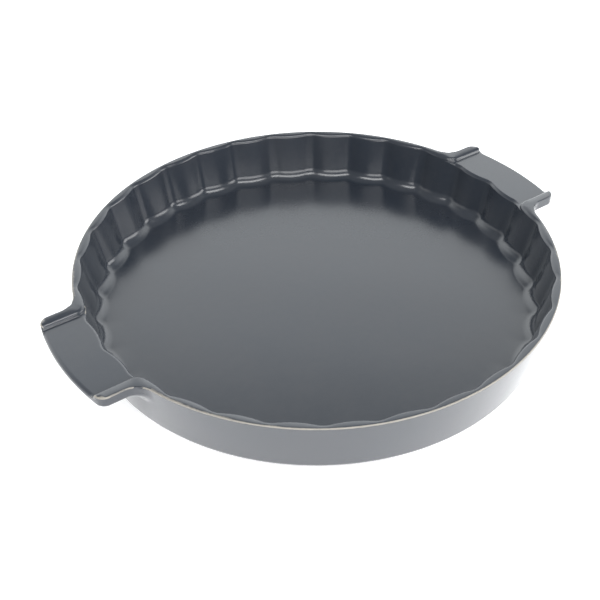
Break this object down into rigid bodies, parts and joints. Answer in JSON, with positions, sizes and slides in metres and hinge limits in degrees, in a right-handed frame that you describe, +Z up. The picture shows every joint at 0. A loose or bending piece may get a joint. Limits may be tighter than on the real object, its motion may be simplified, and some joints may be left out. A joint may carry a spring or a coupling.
{
  "type": "fluted quiche dish",
  "caption": "Round stoneware quiche dish with a smooth slanted outside, a fluted inside wall and slab handles with sunk tops, standing on a low foot ring.",
  "frame": {"origin": "centre of the plane that the foot ring rests on", "axes": "+Z up out of the dish, +X along the line through both handles, +Y across"},
  "size_m": [0.3436, 0.2996, 0.038],
  "materials": {
    "slate_glaze": "satin slate-grey glaze, paler where it breaks thin over edges",
    "bare_stoneware": "unglazed buff stoneware"
  },
  "bodies": {
    "root": {"dish_floor": "slate_glaze", "fluted_wall": "slate_glaze", "rim_front": "slate_glaze", "rim_back": "slate_glaze", "handle_left": "slate_glaze", "handle_right": "slate_glaze", "foot_ring": "bare_stoneware"}
  },
  "joints": []
}
